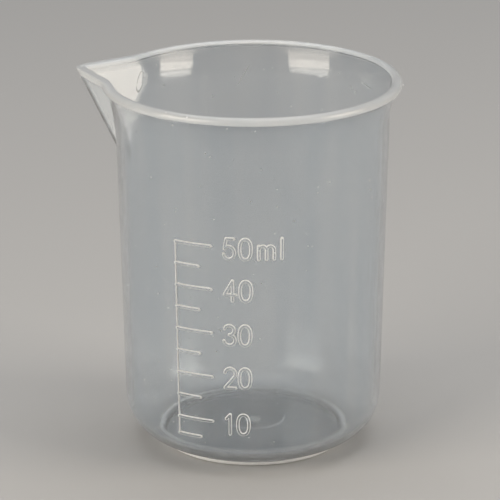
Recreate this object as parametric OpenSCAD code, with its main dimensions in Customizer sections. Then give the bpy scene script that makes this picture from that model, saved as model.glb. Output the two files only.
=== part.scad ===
// Graduated pouring cup, moulded in one piece from translucent polypropylene.
// Units are millimetres. The origin is on the cup's axis at the height of the table,
// +Z points up, the pouring spout points along -X and the scale faces -Y.

/* [Body] */
// Height of the rim above the table
cup_h = 62; // [56:1:76]
// Outer diameter that the tapered wall would have at the table
base_d = 42.1; // [39:0.1:46]
// Taper of the wall from the vertical, in degrees
draft = 1.4; // [0.8:0.1:2]
// Thickness of the side wall
wall = 1.1; // [0.9:0.05:1.4]
// Outer radius of the rounded edge between wall and floor
corner_r = 7.3; // [6:0.1:8.5]
// Inner radius of the rounded edge between wall and floor
inner_corner_r = 4.8; // [3.5:0.1:5.5]

/* [Floor] */
// Height of the floor's upper face at its edge, above the table
floor_top = 2.4; // [2.1:0.1:3.2]
// Rise of the floor from its edge to its middle
floor_rise = 0.5; // [0.2:0.1:0.8]
// Outer diameter of the standing ring
foot_d = 30.9; // [28:0.1:32]
// Width of the standing ring
foot_w = 1.3; // [1:0.1:2]
// Height of the standing ring below the floor
foot_h = 0.85; // [0.6:0.05:1.1]
// Rounding of the standing ring's outer edge
foot_edge_r = 0.8; // [0.4:0.05:0.85]
// Diameter of the raised disc in the middle of the floor
disc_d = 10.4; // [8:0.1:13]
// Height of the raised disc
disc_h = 0.15; // [0.1:0.05:0.3]
// Diameter of the moulding gate's dimple under the floor
gate_d = 1.8; // [1.2:0.1:2.4]
// Depth of the moulding gate's dimple
gate_h = 0.35; // [0.2:0.05:0.5]

/* [Rim] */
// Distance that the flared rim stands out from the wall
rim_out = 1.87; // [1.5:0.05:3]
// Height of the rim's upright outer band
rim_band_h = 1.25; // [0.9:0.05:1.7]
// Rounding of the rim's top edge
rim_edge_r = 0.84; // [0.5:0.02:0.9]
// Distance from the rim down to where the flare begins
flare_h = 6; // [5:0.1:7.5]
// Outer radius of the flare's curve
flare_r = 8.5; // [8:0.1:11]

/* [Spout] */
// Distance that the spout's tip stands out from the rim
spout_out = 5.56; // [4.6:0.02:6.6]
// Angle between the spout's two side walls, seen from above
spout_angle = 96.7; // [92:0.1:102]
// Lean of the spout's keel from the vertical, in degrees
keel_lean = 27.4; // [25:0.1:31]
// Outer radius of the spout's nose, seen from above
nose_r = 2.2; // [1.9:0.05:2.8]
// Thickness of the spout's walls, seen from above
spout_wall = 1.7; // [1.2:0.05:1.9]
// Height of the slant on the spout's top edge
spout_edge = 0.35; // [0.2:0.05:0.5]

/* [Scale] */
// Volume between two neighbouring marks, in millilitres
mark_step_ml = 5; // [5:5:10]
// Volume at the top mark, in millilitres
top_mark_ml = 50; // [30:10:60]
// Height of the lowest mark, at the top of the rounded edge
low_mark_z = 7; // [6.6:0.1:8]
// Height from which the marked volumes are counted
scale_zero_z = 2.1; // [1.8:0.1:3]
// Angle from the middle of the front to the scale's upright line, in degrees
line_az = -19.8; // [-40:0.1:-10]
// Width of the upright line
line_w = 0.28; // [0.2:0.02:0.5]
// Height that the upright line stands out from the wall
line_t = 0.15; // [0.05:0.05:0.3]
// Width of a mark
mark_w = 0.6; // [0.3:0.05:0.8]
// Height that the marks stand out from the wall
mark_t = 0.2; // [0.1:0.05:0.4]
// Length of a long mark, as an angle round the wall
long_mark = 17; // [12:0.5:30]
// Length of a short mark, as an angle round the wall
short_mark = 11.4; // [6:0.2:20]

/* [Hidden] */
$fn = 128;

// Flats in each rounded stretch of an outline
arc_steps = 12;
// How far a cutting or joining solid runs past the face that it meets
over = 0.4;
// Smallest radius of the nose inside the spout
nose_in_min = 0.25;
// Small slant on the standing ring's inner edge
foot_bevel = 0.05;

// Outward unit direction of the tapered wall
wall_out = [cos(draft), -sin(draft)];

// Outer and inner radius of the tapered wall at a height
function outer_r(z) = base_d / 2 + z * tan(draft);
function inner_r(z) = outer_r(z) - wall / cos(draft);

// Points along a circle's arc, from angle a0 to angle a1
function arc(c, r, a0, a1) =
    [for (i = [0 : arc_steps]) let (a = a0 + (a1 - a0) * i / arc_steps) c + r * [cos(a), sin(a)]];

// Point at which a side wall would reach a height
function outer_at(z) = [outer_r(z), z];
function inner_at(z) = [inner_r(z), z];

// Radius of the wide, shallow dome that rises by h across a disc of radius r
function dome_r(r, h) = (r * r + h * h) / (2 * h);
function dome(r, z, h) =
    let (d = dome_r(r, h), a = asin(r / d))
    [for (i = [0 : arc_steps]) let (t = a * i / arc_steps) [d * sin(t), z + h - d + d * cos(t)]];

// Centres of the rounded edge, outside and inside
corner_z = foot_h + corner_r;
corner_c = [outer_r(corner_z) - corner_r / cos(draft), corner_z];
inner_corner_z = floor_top + inner_corner_r;
inner_corner_c = [inner_r(inner_corner_z) - inner_corner_r / cos(draft), inner_corner_z];

// Radii of the standing ring, and the angle at which its side meets the rounded edge
foot_out_r = foot_d / 2;
foot_in_r = foot_out_r - foot_w;
foot_meet = -acos((foot_out_r - corner_c[0]) / corner_r);

// The flare's outer curve starts on the wall and stops under the rim's band
flare_z = cup_h - flare_h;
band_z = cup_h - rim_band_h;
flare_c = outer_at(flare_z) + flare_r * wall_out;
flare_end = asin((band_z - flare_c[1]) / flare_r);

// The flare's inner curve touches the wall and the rim's rounded top edge
rim_r = outer_r(cup_h) + rim_out;
rim_edge_c = [rim_r - rim_edge_r, cup_h - rim_edge_r];
mouth_v = inner_at(flare_z) - rim_edge_c;
mouth_r = (rim_edge_r * rim_edge_r - mouth_v * mouth_v) / (2 * (mouth_v * wall_out + rim_edge_r));
mouth_c = inner_at(flare_z) + mouth_r * wall_out;
mouth_dir = (rim_edge_c - mouth_c) / norm(rim_edge_c - mouth_c);
mouth_end = atan2(mouth_dir[1], mouth_dir[0]);
band_edge_r = 0.2;

// The spout's plan at the rim: a side face's distance from the axis, outside and inside
half_angle = spout_angle / 2;
spout_reach = rim_r + spout_out;
side_out = (spout_reach - nose_r) * sin(half_angle) + nose_r;
side_in = side_out - spout_wall;
nose_in_r = max(nose_r - spout_wall, nose_in_min);
keel_drop = (spout_reach - inner_r(0)) / tan(keel_lean);
edge_lean = 45;

// Plan of the spout towards +X: its nose, its straight sides, and a back of a half width
function spout_plan(side, r, back_w) =
    let (turn = 90 - half_angle, back_x = side / sin(half_angle) - back_w / tan(half_angle))
    concat(
        arc([(side - r) / sin(half_angle), 0], r, -turn, turn),
        [[back_x, back_w], [back_x, -back_w]]
    );

// Height at which the tapered bore holds a volume
ml = 1000;
function level(v) =
    (pow(pow(inner_r(scale_zero_z), 3) + 3 * tan(draft) * v * ml / PI, 1 / 3) - inner_r(0)) / tan(draft);

// Outside of the cup as a solid of revolution
module outer_form() {
    rotate_extrude()
        polygon(concat(
            dome(foot_in_r, foot_h, floor_rise),
            [[foot_in_r, foot_bevel], [foot_in_r + foot_bevel, 0]],
            arc([foot_out_r - foot_edge_r, foot_edge_r], foot_edge_r, -90, 0),
            arc(corner_c, corner_r, foot_meet, -draft),
            arc(flare_c, flare_r, 180 - draft, 180 - flare_end),
            arc([rim_r - band_edge_r, band_z + band_edge_r], band_edge_r, -90, 0),
            arc(rim_edge_c, rim_edge_r, 0, 90),
            [[0, cup_h]]
        ));
}

// Hollow of the cup as a solid of revolution, open at the top
module hollow_form() {
    rotate_extrude()
        polygon(concat(
            dome(inner_corner_c[0], floor_top, floor_rise),
            arc(inner_corner_c, inner_corner_r, -90 + draft, -draft),
            arc(mouth_c, mouth_r, 180 - draft, mouth_end),
            arc(rim_edge_c, rim_edge_r, mouth_end, 90),
            [[rim_edge_c[0], cup_h + over], [0, cup_h + over]]
        ));
}

// Prism whose plan at its origin is the spout's, running up and down along a lean
module spout_prism(lean, side, r, back_w) {
    tilt = spout_reach * abs(sin(lean)) + over;
    drop = keel_drop / cos(lean) + tilt;
    rotate([0, lean, 0])
        translate([0, 0, -drop])
            linear_extrude(drop + tilt)
                polygon([for (p = spout_plan(side, r, back_w)) [p[0] * cos(lean), p[1]]]);
}

// Spout's outside, cut level with the rim, with a slanted top edge
module spout_outside() {
    intersection() {
        translate([0, 0, cup_h])
            spout_prism(keel_lean, side_out, nose_r, side_out * cos(half_angle));
        translate([-spout_edge * tan(keel_lean), 0, cup_h - spout_edge])
            spout_prism(-edge_lean, side_out, nose_r, 2 * rim_r);
        translate([0, -spout_reach, cup_h - keel_drop])
            cube([2 * spout_reach, 2 * spout_reach, keel_drop]);
    }
}

// Spout's channel, open at the top
module spout_channel() {
    translate([0, 0, cup_h])
        spout_prism(keel_lean, side_in, nose_in_r, side_in * cos(half_angle));
}

// Raised rib round the wall between two heights, as wide as an angle
module wall_rib(z0, z1, az, width, t) {
    rotate([0, 0, az - 90])
        rotate_extrude(angle = width)
            polygon([
                [outer_r(z0) - 2 * t, z0],
                [outer_r(z0) + t, z0],
                [outer_r(z1) + t, z1],
                [outer_r(z1) - 2 * t, z1]
            ]);
}

// One mark of the scale, starting in the middle of the upright line
module mark(z, length) {
    wall_rib(z - mark_w / 2, z + mark_w / 2, line_az, length, mark_t);
}

// Raised scale: an upright line and its marks
module scale_marks() {
    line_deg = line_w / outer_r(low_mark_z) * 180 / PI;
    wall_rib(low_mark_z, level(top_mark_ml), line_az - line_deg / 2, line_deg, line_t);
    mark(low_mark_z, short_mark);
    for (v = [2 * mark_step_ml : mark_step_ml : top_mark_ml])
        mark(level(v), v % (2 * mark_step_ml) == 0 ? long_mark : short_mark);
}

// The whole moulding
module beaker() {
    color([0.82, 0.86, 0.88, 0.6]) {
        difference() {
            union() {
                outer_form();
                rotate([0, 0, 180])
                    spout_outside();
            }
            hollow_form();
            rotate([0, 0, 180])
                spout_channel();
            translate([0, 0, foot_h])
                cylinder(h = floor_rise + gate_h, d = gate_d);
        }
        translate([0, 0, floor_top + floor_rise - disc_h])
            cylinder(h = 2 * disc_h, d = disc_d);
        scale_marks();
    }
}

beaker();
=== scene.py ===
import math

import bmesh
import bpy
from mathutils import Matrix, Vector


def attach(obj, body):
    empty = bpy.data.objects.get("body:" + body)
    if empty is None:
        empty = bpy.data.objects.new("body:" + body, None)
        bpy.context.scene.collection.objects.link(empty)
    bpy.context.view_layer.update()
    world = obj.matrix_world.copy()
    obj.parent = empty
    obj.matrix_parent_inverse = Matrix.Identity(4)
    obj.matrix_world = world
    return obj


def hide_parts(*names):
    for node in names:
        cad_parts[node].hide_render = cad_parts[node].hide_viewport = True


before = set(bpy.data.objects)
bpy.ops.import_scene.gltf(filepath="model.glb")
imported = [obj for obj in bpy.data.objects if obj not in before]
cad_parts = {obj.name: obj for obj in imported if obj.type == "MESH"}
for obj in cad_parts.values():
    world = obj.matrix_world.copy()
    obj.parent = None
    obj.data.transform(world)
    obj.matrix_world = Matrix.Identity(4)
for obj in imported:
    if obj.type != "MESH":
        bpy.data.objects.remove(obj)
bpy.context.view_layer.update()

# Cup body
# One injection-moulded piece of natural polypropylene: a tapered wall with a rounded lower edge,
# a standing ring, a domed floor with the gate in its middle, a flared rim with a rounded band,
# and a V-shaped pouring spout that grows out of the rim.
MM = 0.001
CUP_HEIGHT = 62.0
WALL_R_AT_TABLE = 21.05
WALL_SLOPE = 0.02444
WALL_THICKNESS = 1.1
slope_angle = math.atan(WALL_SLOPE)
wall_out = Vector((math.cos(slope_angle), -math.sin(slope_angle)))


def outer_wall(z):
    return WALL_R_AT_TABLE + WALL_SLOPE * z


def inner_wall(z):
    return outer_wall(z) - WALL_THICKNESS / math.cos(slope_angle)


def arc(cx, cz, r, a0, a1, n):
    """Points along a circle's arc, from angle a0 to angle a1, in n steps."""
    steps = [a0 + (a1 - a0) * i / n for i in range(n + 1)]
    return [(cx + r * math.cos(math.radians(a)), cz + r * math.sin(math.radians(a))) for a in steps]


def dome(r0, r1, z_edge, rise, full_r, n):
    """Points along a shallow dome, which rises by a height from its full radius to its middle."""
    radii = [r0 + (r1 - r0) * i / n for i in range(n + 1)]
    return [(r, z_edge + rise * (1 - (r / full_r) ** 2)) for r in radii]


# The rounded lower edge, outside and inside, with the standing ring under it.
draft = math.degrees(slope_angle)
FOOT_HEIGHT, FOOT_EDGE_R = 0.85, 0.8
FOOT_OUTER_R, FOOT_INNER_R = 15.45, 14.15
CORNER_R, INNER_CORNER_R = 7.3, 4.8
FLOOR_TOP, FLOOR_RISE = 2.4, 0.5
corner_z = FOOT_HEIGHT + CORNER_R
corner_x = outer_wall(corner_z) - CORNER_R / math.cos(slope_angle)
foot_meet = -math.degrees(math.acos((FOOT_OUTER_R - corner_x) / CORNER_R))
inner_z = FLOOR_TOP + INNER_CORNER_R
inner_x = inner_wall(inner_z) - INNER_CORNER_R / math.cos(slope_angle)

# The flare and the rim's rounded band. The mouth's curve touches the wall and the rim's top edge.
RIM_R, RIM_BAND, RIM_EDGE_R, RIM_CREST_FLAT, BAND_EDGE_R = 24.43, 1.25, 0.84, 0.12, 0.2
BAND_TOP_DEPTH = 0.93
FLARE_START, FLARE_R = 56.0, 8.5
band_z = CUP_HEIGHT - RIM_BAND
flare_x, flare_z = outer_wall(FLARE_START) + FLARE_R * wall_out.x, FLARE_START + FLARE_R * wall_out.y
flare_end = math.degrees(math.asin((band_z - flare_z) / FLARE_R))
edge_x, edge_z = RIM_R - RIM_EDGE_R, CUP_HEIGHT - RIM_EDGE_R
crest_in = edge_x - RIM_CREST_FLAT
mouth_start = Vector((inner_wall(FLARE_START), FLARE_START))
gap = mouth_start - Vector((crest_in, edge_z))
mouth_r = (RIM_EDGE_R ** 2 - gap.dot(gap)) / (2 * (gap.dot(wall_out) + RIM_EDGE_R))
mouth_c = mouth_start + mouth_r * wall_out
toward = Vector((crest_in, edge_z)) - mouth_c
mouth_end = math.degrees(math.atan2(toward.y, toward.x))

# The outline runs from the axis under the floor, up the outside, over the rim and down the inside.
# Under the floor are the gate's dimple, the domed floor and the standing ring.
GATE_R = 0.9
GATE_SECTION = ((0, 0.32), (0.5, 0.3), (0.9, 0.16), (1, 0.02))
FLOOR_EDGE_R, FOOT_BEVEL_R = 0.2, 0.1
outside = [(share * GATE_R, FOOT_HEIGHT + FLOOR_RISE + depth) for share, depth in GATE_SECTION]
outside += dome(GATE_R * 1.4, FOOT_INNER_R - FLOOR_EDGE_R, FOOT_HEIGHT, FLOOR_RISE, FOOT_INNER_R, 7)
outside += arc(FOOT_INNER_R - FLOOR_EDGE_R, FOOT_HEIGHT - FLOOR_EDGE_R, FLOOR_EDGE_R, 90, 5, 3)[1:]
foot_start = len(outside)
outside += arc(FOOT_INNER_R + FOOT_BEVEL_R, FOOT_BEVEL_R, FOOT_BEVEL_R, 180, 270, 4)
outside += arc(FOOT_OUTER_R - FOOT_EDGE_R, FOOT_EDGE_R, FOOT_EDGE_R, -90, 0, 8)
foot_stop = len(outside)
outside += arc(corner_x, corner_z, CORNER_R, foot_meet, -draft, 18)
# The wall has wide steps up to the spout's root and narrow ones above it.
FINE_FROM_Z, WIDE_STEP, FINE_STEP = 45.0, 2.1, 0.5
z = corner_z + 1.0
while z < FINE_FROM_Z:
    outside.append((outer_wall(z), z))
    z += WIDE_STEP
while z < FLARE_START - 0.3:
    outside.append((outer_wall(z), z))
    z += FINE_STEP
outside += arc(flare_x, flare_z, FLARE_R, 180 - draft, 180 - flare_end, 12)
rim_start = len(outside)
outside += arc(RIM_R - BAND_EDGE_R, band_z + BAND_EDGE_R, BAND_EDGE_R, -90, 0, 4)
outside.append((RIM_R, CUP_HEIGHT - BAND_TOP_DEPTH))
outside += arc(edge_x, edge_z, RIM_EDGE_R, 0, 90, 10)
inside = arc(crest_in, edge_z, RIM_EDGE_R, 90, mouth_end, 10)
rim_stop = len(outside) + len(inside)
inside += arc(mouth_c.x, mouth_c.y, mouth_r, mouth_end, 180 - draft, 14)[1:]
z = FLARE_START - FINE_STEP
while z > FINE_FROM_Z:
    inside.append((inner_wall(z), z))
    z -= FINE_STEP
while z > inner_z + 0.7:
    inside.append((inner_wall(z), z))
    z -= WIDE_STEP
# Inside are the rounded edge, the floor and the raised disc in its middle.
DISC_R, DISC_STEP, DISC_SIDE, DISC_EDGE = 5.2, 0.13, 0.12, 0.15
corner_start = len(outside) + len(inside) + 5
inside += arc(inner_x, inner_z, INNER_CORNER_R, -draft, -90 + draft, 16)
corner_stop = len(outside) + len(inside)
inside += dome(inner_x - 0.5, DISC_R + DISC_SIDE, FLOOR_TOP, FLOOR_RISE, inner_x, 6)
disc_start = len(outside) + len(inside) - 1
disc_z = inside[-1][1] + DISC_STEP
inside += [(DISC_R, disc_z), (DISC_R - DISC_EDGE, disc_z + 0.005)]
disc_stop = len(outside) + len(inside)
inside += dome(DISC_R - 0.4, 0, FLOOR_TOP + DISC_STEP, FLOOR_RISE, inner_x, 5)

# Each point of the outline has a skin. A face takes the lowest skin of its corners. The gate and the
# standing ring get a rough, nearly opaque whitish skin that paints them bright. The row at the end of the
# inner corner gets the dull skin, a bright ring painted on the floor over the standing ring.
OUTER, INNER = 1, 2
CLEAR, DULL_PAINTED_BRIGHT, THICK, RING_PAINTED_BRIGHT, CORNER = 0, 1, 2, 3, 4


def skin_at(i):
    if i == corner_stop:
        return DULL_PAINTED_BRIGHT
    if i <= len(GATE_SECTION) or foot_start <= i < foot_stop:
        return RING_PAINTED_BRIGHT
    if rim_start <= i < rim_stop or disc_start <= i < disc_stop:
        return THICK
    return CORNER if corner_start <= i < corner_stop else CLEAR


# The outline is spun half a turn, shaped into the spout, and mirrored.
HALF_AROUND = 160
bm = bmesh.new()
side_of = bm.verts.layers.int.new("side")
skin_of = bm.verts.layers.int.new("skin")
line = []
for i, (r, z) in enumerate(outside + inside):
    v = bm.verts.new((-r * MM, 0, z * MM))
    v[side_of] = OUTER if i < len(outside) else INNER
    v[skin_of] = skin_at(i)
    line.append(v)
edges = [bm.edges.new(pair) for pair in zip(line, line[1:])]
bmesh.ops.spin(bm, geom=line + edges, cent=(0, 0, 0), axis=(0, 0, 1), angle=math.pi, steps=HALF_AROUND)
bmesh.ops.remove_doubles(bm, verts=bm.verts, dist=1e-7)

# The spout: the wall is pushed out to the spout's plan, which leans in towards the keel's root.
# Its mesh lines crowd towards the keel.
SPOUT_REACH, SPOUT_WALL, SPOUT_EDGE_R = 29.93, 1.7, 0.35
SPOUT_NOSE_R, CHANNEL_NOSE_R = 2.2, 0.5
SPOUT_HALF_ANGLE, KEEL_LEAN = math.radians(48.35), math.radians(27.4)
SPOUT_NORMAL = math.pi / 2 - SPOUT_HALF_ANGLE
SPOUT_ROOT_Z, SPOUT_SPREAD, SPOUT_FADE = 42, 1.2, 40
BLEND_OUTSIDE, BLEND_INSIDE = 0.5, 0.7
CROWDING = 0.62
side_out = (SPOUT_REACH - SPOUT_NOSE_R) * math.sin(SPOUT_HALF_ANGLE) + SPOUT_NOSE_R


def spout_r(turn, depth, side, nose_r):
    """Distance from the axis to the spout's plan, at an angle from the spout and a depth below the rim."""
    shift = depth * math.tan(KEEL_LEAN)
    a = abs(turn)
    centre = (side - nose_r) / math.sin(SPOUT_HALF_ANGLE) - shift
    if centre > 0 and centre * math.sin(a) < nose_r:
        r = centre * math.cos(a) + math.sqrt(nose_r ** 2 - (centre * math.sin(a)) ** 2)
        if math.atan2(r * math.sin(a), r * math.cos(a) - centre) < SPOUT_NORMAL:
            return r
    line_r = side - shift * math.sin(SPOUT_HALF_ANGLE)
    if a > SPOUT_NORMAL:
        return line_r - SPOUT_FADE * (a - SPOUT_NORMAL) ** 2
    return line_r / math.cos(a - SPOUT_NORMAL)


def soft_max(a, b, width):
    """The larger of two radii, rounded off where they are within a width of one another."""
    h = max(width - abs(a - b), 0) / width
    return max(a, b) + h * h * width / 4


for v in bm.verts:
    r = math.hypot(v.co.x, v.co.y) / MM
    z = v.co.z / MM
    if r < 1e-3:
        continue
    turn = math.atan2(v.co.y, -v.co.x)
    turn -= CROWDING * math.sin(turn)
    if z > SPOUT_ROOT_Z and abs(turn) < SPOUT_SPREAD:
        depth = CUP_HEIGHT - z
        near_top = max(SPOUT_EDGE_R - depth, 0) / SPOUT_EDGE_R
        inset = SPOUT_EDGE_R * (1 - math.sqrt(1 - near_top ** 2))
        if v[side_of] == OUTER:
            plan = spout_r(turn, depth, side_out, SPOUT_NOSE_R) - inset
            r = soft_max(r, plan, BLEND_OUTSIDE)
        else:
            plan = spout_r(turn, depth, side_out - SPOUT_WALL, CHANNEL_NOSE_R) + inset
            r = soft_max(r, plan, BLEND_INSIDE)
    v.co.x = -r * MM * math.cos(turn)
    v.co.y = r * MM * math.sin(turn)
bmesh.ops.mirror(bm, geom=bm.verts[:] + bm.edges[:] + bm.faces[:], axis="Y", merge_dist=1e-7)
bmesh.ops.recalc_face_normals(bm, faces=bm.faces)
for face in bm.faces:
    face.material_index = min(v[skin_of] for v in face.verts)
body_mesh = bpy.data.meshes.new("cup_body")
bm.to_mesh(body_mesh)
bm.free()
cup = bpy.data.objects.new("cup_body", body_mesh)
bpy.context.scene.collection.objects.link(cup)

# Scale and numerals
# Marks, numerals and the unit are engraved in the mould, so they stand out from the wall as low
# ribs with a flat top and soft edges. They are fused with the body below.
RELIEF = 0.22
LINE_AZ = -19.8
LONG_MARK, SHORT_MARK, LOWEST_MARK_Z = 17.0, 11.4, 7.0
MARK_WIDTH, LINE_WIDTH, STROKE = 0.6, 0.27, 0.58
SUNK, LINE_SUNK, LINE_LOWER = 0.25, 0.2, 0.05
SCALE_ZERO = 2.1


def level(ml):
    """Height at which the tapered bore holds a volume above the scale's zero."""
    bore = inner_wall(SCALE_ZERO)
    return ((bore ** 3 + 3 * WALL_SLOPE * ml * 1000 / math.pi) ** (1 / 3) - inner_wall(0)) / WALL_SLOPE


def rib(name, path, width, relief, sunk, closed=False):
    """A raised stroke along a path on a flat, swept with a slanted section. Its open ends are round."""
    half = width / 2
    side = [(half, 0.01), (half * 0.84, relief * 0.5), (half * 0.68, relief * 0.82), (half * 0.48, relief)]
    corners = [(-half, -sunk), (half, -sunk)] + side + [(-x, h) for x, h in reversed(side)]
    section_curve = bpy.data.curves.new("section", "CURVE")
    spline = section_curve.splines.new("POLY")
    spline.points.add(len(corners) - 1)
    for point, corner in zip(spline.points, corners):
        point.co = (*corner, 0, 1)
    spline.use_cyclic_u = True
    section = bpy.data.objects.new("section", section_curve)
    points = [(*xy, 1.0) for xy in path]
    if not closed:
        head = (Vector(path[0]) - Vector(path[1])).normalized() * half
        tail = (Vector(path[-1]) - Vector(path[-2])).normalized() * half
        ends = ((0.98, 0.2), (0.85, 0.53), (0.5, 0.87))
        points = ([(*(Vector(path[0]) + head * reach), share) for reach, share in ends] + points
                  + [(*(Vector(path[-1]) + tail * reach), share) for reach, share in reversed(ends)])
    curve = bpy.data.curves.new(name, "CURVE")
    curve.dimensions, curve.fill_mode, curve.use_fill_caps = "2D", "NONE", True
    curve.bevel_mode, curve.bevel_object = "OBJECT", section
    spline = curve.splines.new("POLY")
    spline.points.add(len(points) - 1)
    for point, (x, y, share) in zip(spline.points, points):
        point.co, point.radius = (x, y, 0, 1), share
    spline.use_cyclic_u = closed
    stroke = bpy.data.objects.new(name, curve)
    bpy.context.scene.collection.objects.link(stroke)
    mesh = bpy.data.meshes.new_from_object(stroke.evaluated_get(bpy.context.evaluated_depsgraph_get()))
    for thing in (stroke, section):
        bpy.data.objects.remove(thing)
    return mesh


def wrap(mesh, az, z0, dull_bright_top=False):
    """Bends a flat rib round the wall, from an angle and a height. Its flanks get the dull skin, rough and
    whitish, which paints them brighter than the wall.
    """
    bm = bmesh.new()
    bm.from_mesh(mesh)
    bmesh.ops.remove_doubles(bm, verts=bm.verts, dist=1e-5)
    top = max(v.co.z for v in bm.verts)
    for face in bm.faces:
        heights = [v.co.z for v in face.verts]
        shows = max(heights) > 0 and (dull_bright_top or min(heights) < top - 0.01)
        face.material_index = DULL_PAINTED_BRIGHT if shows else CLEAR
    for v in bm.verts:
        z = z0 + v.co.y
        a = math.radians(az) + v.co.x / outer_wall(z0)
        r = outer_wall(z) + v.co.z
        v.co = Vector((r * math.sin(a), -r * math.cos(a), z)) * MM
    bmesh.ops.recalc_face_normals(bm, faces=bm.faces)
    if bm.calc_volume(signed=True) < 0:
        bmesh.ops.reverse_faces(bm, faces=bm.faces)
    bmesh.ops.triangulate(bm, faces=bm.faces)
    bm.to_mesh(mesh)
    bm.free()
    piece = bpy.data.objects.new(mesh.name, mesh)
    bpy.context.scene.collection.objects.link(piece)
    return piece


def straight(x0, y0, x1, y1, step=0.3):
    n = max(1, round(math.hypot(x1 - x0, y1 - y0) / step))
    return [(x0 + (x1 - x0) * i / n, y0 + (y1 - y0) * i / n) for i in range(n + 1)]


def bow(cx, cy, rx, ry, a0, a1, n=14):
    steps = [math.radians(a0 + (a1 - a0) * i / n) for i in range(n + 1)]
    return [(cx + rx * math.cos(a), cy + ry * math.sin(a)) for a in steps]


# Each sign is a few strokes from its own foot point, in millimetres along the strokes' middles.
# The zero is an oval with slightly flattened sides.
TALL, ZERO_HALF_WIDTH, FLATTENING = 3.4, 0.9, 0.86


def squared_off(value):
    return math.copysign(abs(value) ** FLATTENING, value)


zero = []
for i in range(40):
    a = math.tau * i / 40
    across, up = squared_off(math.cos(a)), squared_off(math.sin(a))
    zero.append((ZERO_HALF_WIDTH * (1 + across), TALL / 2 * (1 + up)))
signs = {
    "0": [(zero, True)],
    "1": [(straight(0.0, 2.62, 0.62, TALL), False), (straight(0.62, TALL, 0.62, 0), False)],
    "2": [(bow(0.88, 2.5, 0.85, 0.9, 172, -38, 16) + straight(1.45, 1.8, 0.02, 0.02)[1:], False),
          (straight(0.02, 0, 1.75, 0), False)],
    "3": [(bow(0.85, 2.6, 0.76, 0.8, 168, -90, 16), False),
          (bow(0.85, 0.9, 0.9, 0.9, 90, -170, 18), False)],
    "4": [(straight(1.3, 0, 1.3, TALL), False), (straight(1.3, TALL, 0, 1.05), False),
          (straight(0, 1.05, 1.85, 1.05), False)],
    "5": [(straight(1.62, TALL, 0.42, TALL), False), (straight(0.42, TALL, 0.14, 1.74), False),
          (bow(0.86, 1.08, 0.9, 1.08, 143, -165, 20), False)],
    "m": [(straight(0, 0, 0, 2.25), False),
          (bow(0.62, 1.55, 0.62, 0.7, 180, 0) + straight(1.24, 1.55, 1.24, 0)[1:], False),
          (bow(1.86, 1.55, 0.62, 0.7, 180, 0) + straight(2.48, 1.55, 2.48, 0)[1:], False)],
    "l": [(straight(0, 0, 0, TALL), False)],
}
# Each row is a sign, its angle round the wall and the height of its foot.
placed_signs = (
    ("5", 2.1, 38.15), ("0", 8.8, 38.15), ("m", 16.7, 38.15), ("l", 26.4, 38.15),
    ("4", 2.3, 31.05), ("0", 8.9, 31.05),
    ("3", 2.0, 23.45), ("0", 8.5, 23.45),
    ("2", 2.1, 16.05), ("0", 8.4, 16.05),
    ("1", 2.6, 8.0), ("0", 7.6, 8.0),
)

# The upright line is a little lower than the marks that start on it. Its top also gets the dull skin,
# painted bright.
upright = straight(0, 0, 0, level(50) - LOWEST_MARK_Z, 1.0)
upright_rib = rib("line", upright, LINE_WIDTH, RELIEF - LINE_LOWER, LINE_SUNK)
ribs = [wrap(upright_rib, LINE_AZ, LOWEST_MARK_Z, dull_bright_top=True)]
marks = [(level(ml), LONG_MARK if ml % 10 == 0 else SHORT_MARK) for ml in range(10, 55, 5)]
marks.append((LOWEST_MARK_Z, SHORT_MARK))
for z, length in marks:
    run = math.radians(length) * outer_wall(z) - MARK_WIDTH / 2
    ribs.append(wrap(rib("mark", straight(0, 0, run, 0, 0.35), MARK_WIDTH, RELIEF, SUNK), LINE_AZ, z))
# A sign's strokes differ a little in width, height and depth, so that no two faces coincide.
for sign, az, foot in placed_signs:
    for i, (path, closed) in enumerate(signs[sign]):
        stroke = rib("sign", path, STROKE - 0.01 * i, RELIEF + 0.011 * i, SUNK + 0.04 * i, closed)
        ribs.append(wrap(stroke, az, foot))

# A tiny nub of flash is left on the rim where the mould's halves met. It is fused on with the signs.
NUB_R, NUB_AZ, NUB_Z = 0.2, math.radians(102), 60.9
nub_middle = Vector((RIM_R * math.sin(NUB_AZ), -RIM_R * math.cos(NUB_AZ), NUB_Z)) * MM
bm = bmesh.new()
bmesh.ops.create_icosphere(bm, subdivisions=2, radius=NUB_R * MM, matrix=Matrix.Translation(nub_middle))
for face in bm.faces:
    face.material_index = THICK
nub_mesh = bpy.data.meshes.new("nub")
bm.to_mesh(nub_mesh)
bm.free()
nub = bpy.data.objects.new("nub", nub_mesh)
bpy.context.scene.collection.objects.link(nub)
ribs.append(nub)


def fuse(piece, others):
    """The union of a piece and others as one closed shell, which takes the others away."""
    group = bpy.data.collections.new("to_fuse")
    for other in others:
        bpy.context.scene.collection.objects.unlink(other)
        group.objects.link(other)
    bpy.context.scene.collection.children.link(group)
    join = piece.modifiers.new("fuse", "BOOLEAN")
    join.operation, join.solver, join.operand_type = "UNION", "EXACT", "COLLECTION"
    join.collection = group
    mesh = bpy.data.meshes.new_from_object(piece.evaluated_get(bpy.context.evaluated_depsgraph_get()))
    piece.modifiers.clear()
    bm = bmesh.new()
    bm.from_mesh(mesh)
    bmesh.ops.triangulate(bm, faces=[face for face in bm.faces if len(face.verts) > 4])
    bm.to_mesh(mesh)
    bm.free()
    piece.data = mesh
    for other in others:
        bpy.data.objects.remove(other)
    bpy.data.collections.remove(group)
    return piece


cup = fuse(cup, [fuse(ribs[0], ribs[1:])])
fused = cup.data
for polygon in fused.polygons:
    polygon.use_smooth = True
fused.set_sharp_from_angle(angle=math.radians(32))

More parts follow.
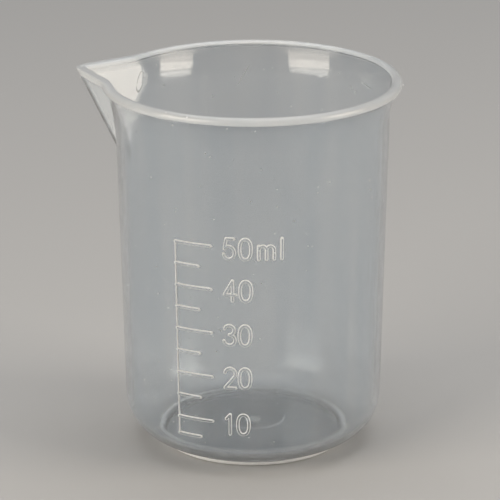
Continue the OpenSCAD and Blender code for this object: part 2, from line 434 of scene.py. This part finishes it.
# The plastic
# Natural polypropylene: a little milky, glossy from the mould, with soft flow streaks up the wall, fine
# specks, a few hairline scratches, a duller skin on the engraved relief's flanks that is whitish and
# painted bright, and painted shade in a spout crease.
surface = bpy.data.node_groups.new("moulded_surface", "ShaderNodeTree")
surface.interface.new_socket("Tint", in_out="OUTPUT", socket_type="NodeSocketColor")
surface.interface.new_socket("Roughness", in_out="OUTPUT", socket_type="NodeSocketFloat")
surface.interface.new_socket("Normal", in_out="OUTPUT", socket_type="NodeSocketVector")
made, wire = surface.nodes, surface.links
place = made.new("ShaderNodeTexCoord")
finished = made.new("NodeGroupOutput")


def maths(operation, a, b=0.0, c=0.0):
    """One operation on up to three values, each a plain number or another node's output."""
    node = made.new("ShaderNodeMath")
    node.operation = operation
    for socket, value in zip(node.inputs, (a, b, c)):
        if isinstance(value, (int, float)):
            socket.default_value = value
        else:
            wire.new(value, socket)
    return node.outputs[0]


def spread(value, low, high, to_low=0.0, to_high=1.0):
    """A value taken softly from one range to another."""
    node = made.new("ShaderNodeMapRange")
    node.interpolation_type = "SMOOTHSTEP"
    wire.new(value, node.inputs["Value"])
    for name, number in (("From Min", low), ("From Max", high), ("To Min", to_low), ("To Max", to_high)):
        node.inputs[name].default_value = number
    return node.outputs["Result"]


def noise(scales, detail):
    stretch = made.new("ShaderNodeMapping")
    stretch.inputs["Scale"].default_value = scales
    wire.new(place.outputs["Object"], stretch.inputs["Vector"])
    node = made.new("ShaderNodeTexNoise")
    node.inputs["Scale"].default_value = 1.0
    node.inputs["Detail"].default_value = detail
    wire.new(stretch.outputs["Vector"], node.inputs["Vector"])
    return node.outputs["Fac"]


streaks = spread(noise((260, 260, 9), 3.0), 0.35, 0.65)
clouds = spread(noise((70, 70, 45), 2.0), 0.35, 0.65)
specks = spread(noise((2100, 2100, 2100), 0.0), 0.86, 0.89)
axes = made.new("ShaderNodeSeparateXYZ")
wire.new(place.outputs["Object"], axes.inputs[0])
x_squared = maths("MULTIPLY", axes.outputs[0], axes.outputs[0])
y_squared = maths("MULTIPLY", axes.outputs[1], axes.outputs[1])
height = axes.outputs[2]
reach = maths("SQRT", maths("ADD", x_squared, y_squared))
stands_out = maths("SUBTRACT", reach, maths("MULTIPLY_ADD", height, WALL_SLOPE, WALL_R_AT_TABLE * MM))


def reach_along(direction, centre=(0, 0, 0)):
    """How far a point lies along a direction, in metres, from a centre that is in millimetres."""
    offset = made.new("ShaderNodeVectorMath")
    offset.operation = "SUBTRACT"
    wire.new(place.outputs["Object"], offset.inputs[0])
    offset.inputs[1].default_value = [c * MM for c in centre]
    share = made.new("ShaderNodeVectorMath")
    share.operation = "DOT_PRODUCT"
    wire.new(offset.outputs["Vector"], share.inputs[0])
    share.inputs[1].default_value = direction
    return share.outputs["Value"]


# Hairline scratches inside the back wall, under the flare: place across and up, lean, half length.
SCRATCHES = ((-1.5, 56.4, 60, 1.9), (16.5, 56.4, 90, 0.5), (17.1, 55.9, 110, 0.45), (19.0, 57.7, -15, 0.65))
SCRATCH_TURN, SCRATCH_WIDTH, SCRATCH_FADE, SCRATCH_TAPER = math.radians(14.28), 0.02, 0.05, 0.4
INSIDE_WALL = -0.5
sideways = (math.cos(SCRATCH_TURN), math.sin(SCRATCH_TURN), 0)
backwards = (-math.sin(SCRATCH_TURN), math.cos(SCRATCH_TURN), 0)
scratches = 0.0
for x, z, lean, half_length in SCRATCHES:
    run, rise = math.cos(math.radians(lean)), math.sin(math.radians(lean))
    middle = (x * sideways[0], x * sideways[1], z)
    along = maths("ABSOLUTE", reach_along((run * sideways[0], run * sideways[1], rise), middle))
    across = maths("ABSOLUTE", reach_along((rise * sideways[0], rise * sideways[1], -run), middle))
    on_line = spread(across, SCRATCH_WIDTH * MM, SCRATCH_FADE * MM, 1.0, 0.0)
    in_length = spread(along, (half_length - SCRATCH_TAPER) * MM, half_length * MM, 1.0, 0.0)
    scratches = maths("MAXIMUM", scratches, maths("MULTIPLY", on_line, in_length))
scratches = maths("MULTIPLY", scratches, maths("GREATER_THAN", reach_along(backwards), 0.0))
scratches = maths("MULTIPLY", scratches, maths("LESS_THAN", stands_out, INSIDE_WALL * MM))
# Painted shade: a grey leaf-shaped outline inside the spout's wall, along the crease where the channel
# meets the mouth.
LEAF_CENTRE = (-20.81, 6.42, 58.2)
LEAF_HALF_WIDTH, LEAF_HALF_LENGTH, LEAF_DEPTH = 0.57, 1.78, 0.6
LEAF_ACROSS, LEAF_ALONG, LEAF_OUT = (0.504, 0.672, -0.545), (0.327, 0.436, 0.84), (0.8, -0.6, 0)
wide = maths("DIVIDE", reach_along(LEAF_ACROSS, LEAF_CENTRE), LEAF_HALF_WIDTH * MM)
tall = maths("DIVIDE", reach_along(LEAF_ALONG, LEAF_CENTRE), LEAF_HALF_LENGTH * MM)
from_middle = maths("SQRT", maths("ADD", maths("MULTIPLY", wide, wide), maths("MULTIPLY", tall, tall)))
crease_shade = spread(maths("ABSOLUTE", maths("SUBTRACT", from_middle, 1.0)), 0.06, 0.14, 1.0, 0.0)
crease_shade = maths("MULTIPLY", crease_shade, spread(noise((800, 800, 800), 1.0), 0.35, 0.55, 0.3, 0.8))
off_wall = maths("ABSOLUTE", reach_along(LEAF_OUT, LEAF_CENTRE))
crease_shade = maths("MULTIPLY", crease_shade, maths("LESS_THAN", off_wall, LEAF_DEPTH * MM))


def tinted(under, over, share):
    """A colour laid over another by a share."""
    node = made.new("ShaderNodeMix")
    node.data_type = "RGBA"
    for name, colour in (("A", under), ("B", over)):
        if isinstance(colour, tuple):
            node.inputs[name].default_value = (*colour, 1)
        else:
            wire.new(colour, node.inputs[name])
    wire.new(share, node.inputs["Factor"])
    return node.outputs["Result"]


# Bluish milk in the wall, whiter in the streaks, with pale specks and scratches, and painted shade in grey
# along the leaf-shaped crease in the spout.
THIN_MILK, FULL_MILK = (0.80, 0.848, 0.89), (0.878, 0.908, 0.935)
SCUFFED, CREASE_SHADE_GREY = (0.97, 0.98, 0.985), (0.4, 0.4, 0.4)
streaky = maths("MULTIPLY_ADD", streaks, 0.6, maths("MULTIPLY", clouds, 0.4))
tint = tinted(THIN_MILK, FULL_MILK, streaky)
tint = tinted(tint, SCUFFED, maths("MAXIMUM", specks, scratches))
tint = tinted(tint, CREASE_SHADE_GREY, crease_shade)
wire.new(tint, finished.inputs["Tint"])
# The thick rounded edge at the bottom and the rim blur what is behind them.
EDGE_BLUR, RIM_BLUR, GLOSS, CLOUDED, SPOILED = 0.16, 0.14, 0.065, 0.03, 0.7
EDGE_LOW_Z, EDGE_HIGH_Z, EDGE_IN_R, EDGE_OUT_R = 2.5, 8.0, 15.5, 18.5
RIM_BLUR_LOW_Z, RIM_BLUR_HIGH_Z = 60.2, 60.9
low_down = spread(height, EDGE_LOW_Z * MM, EDGE_HIGH_Z * MM, EDGE_BLUR, 0.0)
low_down = maths("MULTIPLY", low_down, spread(reach, EDGE_IN_R * MM, EDGE_OUT_R * MM))
at_rim = spread(height, RIM_BLUR_LOW_Z * MM, RIM_BLUR_HIGH_Z * MM, 0.0, RIM_BLUR)
dull = maths("ADD", maths("MULTIPLY_ADD", clouds, CLOUDED, GLOSS), maths("ADD", low_down, at_rim))
spoiled = maths("MAXIMUM", maths("MAXIMUM", specks, scratches), crease_shade)
wire.new(maths("MAXIMUM", dull, maths("MULTIPLY", spoiled, SPOILED)), finished.inputs["Roughness"])
# The surface isn't quite even: soft streaks and clouds, small pimples and the scratches' grooves.
RELIEF_STRENGTH, RELIEF_DEPTH = 0.25, 0.06
bump = made.new("ShaderNodeBump")
bump.inputs["Strength"].default_value = RELIEF_STRENGTH
bump.inputs["Distance"].default_value = RELIEF_DEPTH * MM
relief_map = maths("SUBTRACT", maths("MULTIPLY", specks, 0.3), maths("MULTIPLY", scratches, 0.4))
relief_map = maths("MULTIPLY_ADD", clouds, 0.5, relief_map)
relief_map = maths("MULTIPLY_ADD", streaks, 0.6, relief_map)
wire.new(relief_map, bump.inputs["Height"])
wire.new(bump.outputs["Normal"], finished.inputs["Normal"])

# The plastic's index of refraction and its faint sheen are the same on every skin. The dull skins share a
# whitish tint that paints them brighter than the clear wall.
PAINTED_BRIGHT_TINT, REFRACTION, SHEEN, SHEEN_ROUGHNESS = (0.95, 0.965, 0.975, 1), 1.49, 0.12, 0.4


def moulded(name, clearness, roughness):
    """One skin of the plastic, by its share of clear surface, and by its own roughness if it is dull. A
    dull skin takes the whitish tint that paints it bright.
    """
    plastic = bpy.data.materials.new(name)
    plastic.use_nodes = True
    nodes, links = plastic.node_tree.nodes, plastic.node_tree.links
    shader = nodes["Principled BSDF"]
    skin = nodes.new("ShaderNodeGroup")
    skin.node_tree = surface
    if roughness is None:
        links.new(skin.outputs["Tint"], shader.inputs["Base Color"])
        links.new(skin.outputs["Roughness"], shader.inputs["Roughness"])
    else:
        shader.inputs["Base Color"].default_value = PAINTED_BRIGHT_TINT
        shader.inputs["Roughness"].default_value = roughness
    links.new(skin.outputs["Normal"], shader.inputs["Normal"])
    shader.inputs["Transmission Weight"].default_value = clearness
    shader.inputs["IOR"].default_value = REFRACTION
    shader.inputs["Sheen Weight"].default_value = SHEEN
    shader.inputs["Sheen Roughness"].default_value = SHEEN_ROUGHNESS
    return plastic


# The skins in the order of their numbers: clear wall, dull flanks painted bright, thick rim, ring painted
# bright and thick corner.
SKINS = (("natural_polypropylene", 0.93, None), ("engraved_skin_painted_bright", 0.35, 0.6), ("thick_rim", 0.5, None),
         ("ring_skin_painted_bright", 0.12, 0.6), ("thick_corner", 0.8, None))
skins = [polygon.material_index for polygon in fused.polygons]
fused.materials.clear()
for name, clearness, roughness in SKINS:
    fused.materials.append(moulded(name, clearness, roughness))
fused.polygons.foreach_set("material_index", skins)
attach(cup, "root")
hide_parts("beaker")

# Floor, light and camera
# A pale grey studio table with no edge in view, two soft boxes in front and one above.
bm = bmesh.new()
bmesh.ops.create_grid(bm, x_segments=1, y_segments=1, size=3.0)
floor_mesh = bpy.data.meshes.new("floor")
bm.to_mesh(floor_mesh)
bm.free()
floor = bpy.data.objects.new("floor", floor_mesh)
bpy.context.scene.collection.objects.link(floor)
paper = bpy.data.materials.new("pale_paper")
paper.use_nodes = True
paper_shader = paper.node_tree.nodes["Principled BSDF"]
paper_shader.inputs["Base Color"].default_value = (0.45, 0.45, 0.45, 1)
paper_shader.inputs["Roughness"].default_value = 0.8
floor_mesh.materials.append(paper)

world = bpy.data.worlds.new("studio")
world.use_nodes = True
surround = world.node_tree.nodes["Background"]
surround.inputs["Color"].default_value = (0.5, 0.5, 0.5, 1)
surround.inputs["Strength"].default_value = 0.3
bpy.context.scene.world = world


def soft_box(name, place, aim, width, height, watts, colour):
    """A flat lamp at a place, turned towards a point."""
    lamp = bpy.data.lights.new(name, "AREA")
    lamp.shape = "RECTANGLE"
    lamp.size, lamp.size_y = width, height
    lamp.energy = watts
    lamp.color = colour
    box = bpy.data.objects.new(name, lamp)
    box.location = place
    box.rotation_euler = (Vector(aim) - Vector(place)).to_track_quat("-Z", "Y").to_euler()
    bpy.context.scene.collection.objects.link(box)


WARM, PLAIN = (1.0, 0.9, 0.77), (1, 1, 1)
CUP_MIDDLE = (0, 0, 0.03)
soft_box("box_left", (-0.31, -0.39, 0.19), CUP_MIDDLE, 0.36, 0.34, 2.2, WARM)
soft_box("box_right", (0.5, -0.03, 0.19), CUP_MIDDLE, 0.30, 0.34, 1.9, WARM)
soft_box("box_top", (0.0, 0.15, 0.9), CUP_MIDDLE, 0.9, 0.9, 5.0, PLAIN)

# The camera stands where the photograph's did, and looks at a point just left of the cup's axis.
VIEW_AZ, VIEW_EL, VIEW_ROLL = math.radians(14.28), math.radians(18.607), math.radians(-0.1237)
VIEW_DISTANCE, AIM_ASIDE, AIM_HEIGHT = 551.57, -0.457, 32.365
FOCAL_LENGTH, SENSOR_WIDTH = 240.006, 36
level_right = Vector((math.cos(VIEW_AZ), math.sin(VIEW_AZ), 0))
level_ahead = Vector((-math.sin(VIEW_AZ), math.cos(VIEW_AZ), 0))
ahead = math.cos(VIEW_EL) * level_ahead - math.sin(VIEW_EL) * Vector((0, 0, 1))
level_up = level_right.cross(ahead)
right = math.cos(VIEW_ROLL) * level_right + math.sin(VIEW_ROLL) * level_up
up = math.cos(VIEW_ROLL) * level_up - math.sin(VIEW_ROLL) * level_right
aim = AIM_ASIDE * MM * level_right + Vector((0, 0, AIM_HEIGHT * MM))
lens = bpy.data.cameras.new("camera")
lens.lens, lens.sensor_width = FOCAL_LENGTH, SENSOR_WIDTH
lens.clip_start, lens.clip_end = 0.01, 20
camera = bpy.data.objects.new("camera", lens)
turned = Matrix((right, up, -ahead)).transposed().to_4x4()
camera.matrix_world = Matrix.Translation(aim - VIEW_DISTANCE * MM * ahead) @ turned
bpy.context.scene.collection.objects.link(camera)
bpy.context.scene.camera = camera
bpy.context.scene.view_settings.view_transform = "Standard"
